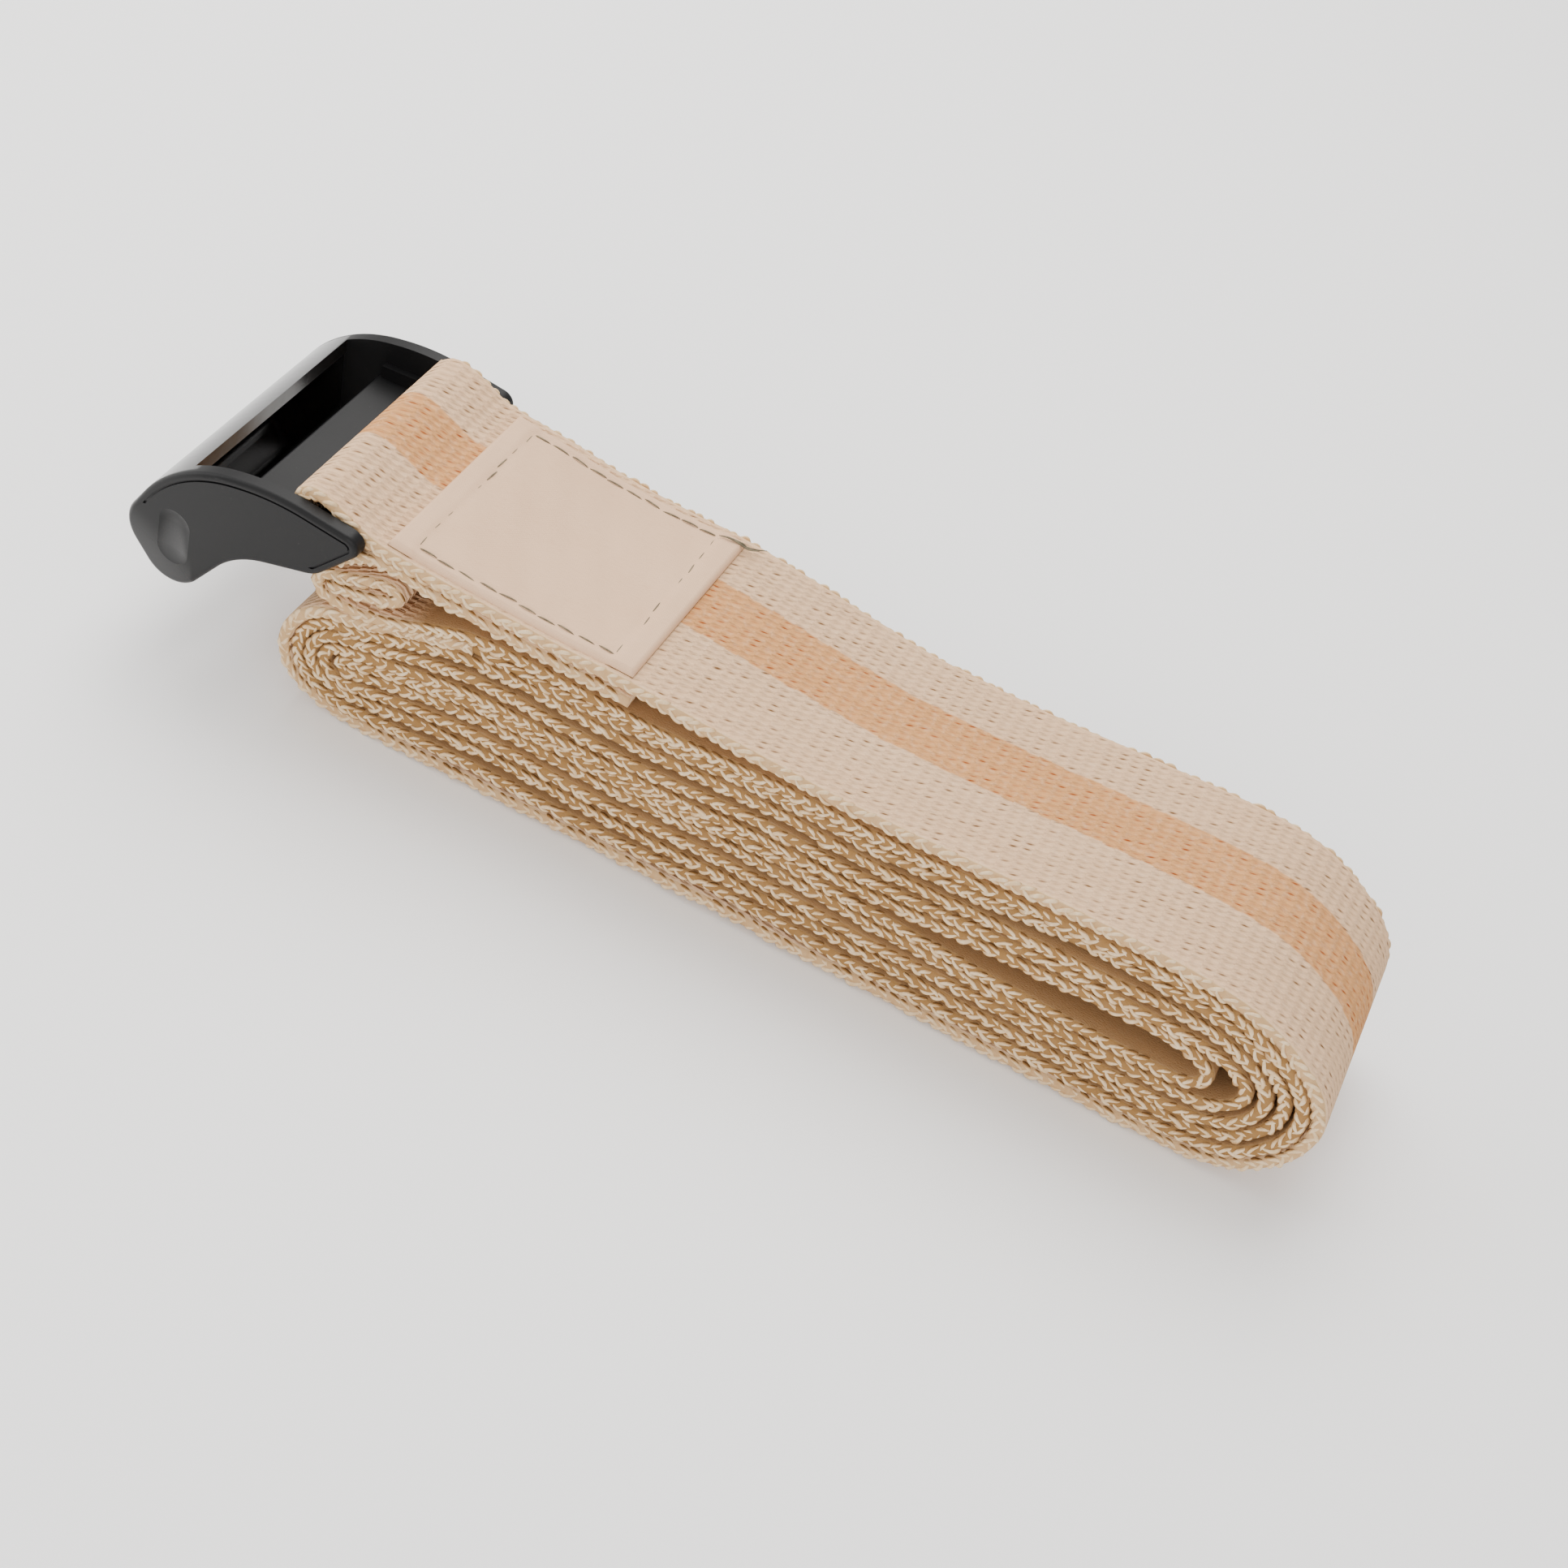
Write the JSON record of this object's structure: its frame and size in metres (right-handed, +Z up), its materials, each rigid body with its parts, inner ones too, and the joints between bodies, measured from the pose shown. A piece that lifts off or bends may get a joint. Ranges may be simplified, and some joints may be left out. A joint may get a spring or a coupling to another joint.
{
  "type": "stretching strap",
  "caption": "Striped cotton stretching strap folded and rolled into a flat bundle, with a swivelling plastic cinch buckle in a sewn loop and a sewn cloth label.",
  "frame": {"origin": "centre of the bottom of the object's bounding box, on the surface that the bundle lies on", "axes": "+X along the bundle, from the buckle end to the plain folded end; +Y across the webbing; +Z up"},
  "size_m": [0.203, 0.0466, 0.0477],
  "materials": {
    "webbing": "cream cotton webbing with a peach stripe, dull",
    "buckle": "charcoal moulded plastic, satin cheeks and a polished front",
    "label": "plain fine canvas, dull",
    "thread": "olive brown sewing thread",
    "hem_thread": "cream sewing thread"
  },
  "bodies": {
    "strap": {"webbing": "webbing", "label": "label", "label_needle_thread": "thread", "label_bobbin_thread": "thread", "hem_thread": "hem_thread"},
    "buckle": {"buckle": "buckle"}
  },
  "joints": [
    {"name": "buckle_swivel", "type": "hinge", "parent": "strap", "child": "buckle", "pos_m": [-0.06721, -0.00101, 0.0385], "axis": [0.0331, 0.9975, 0.0628], "range_deg": [0, 145]}
  ]
}
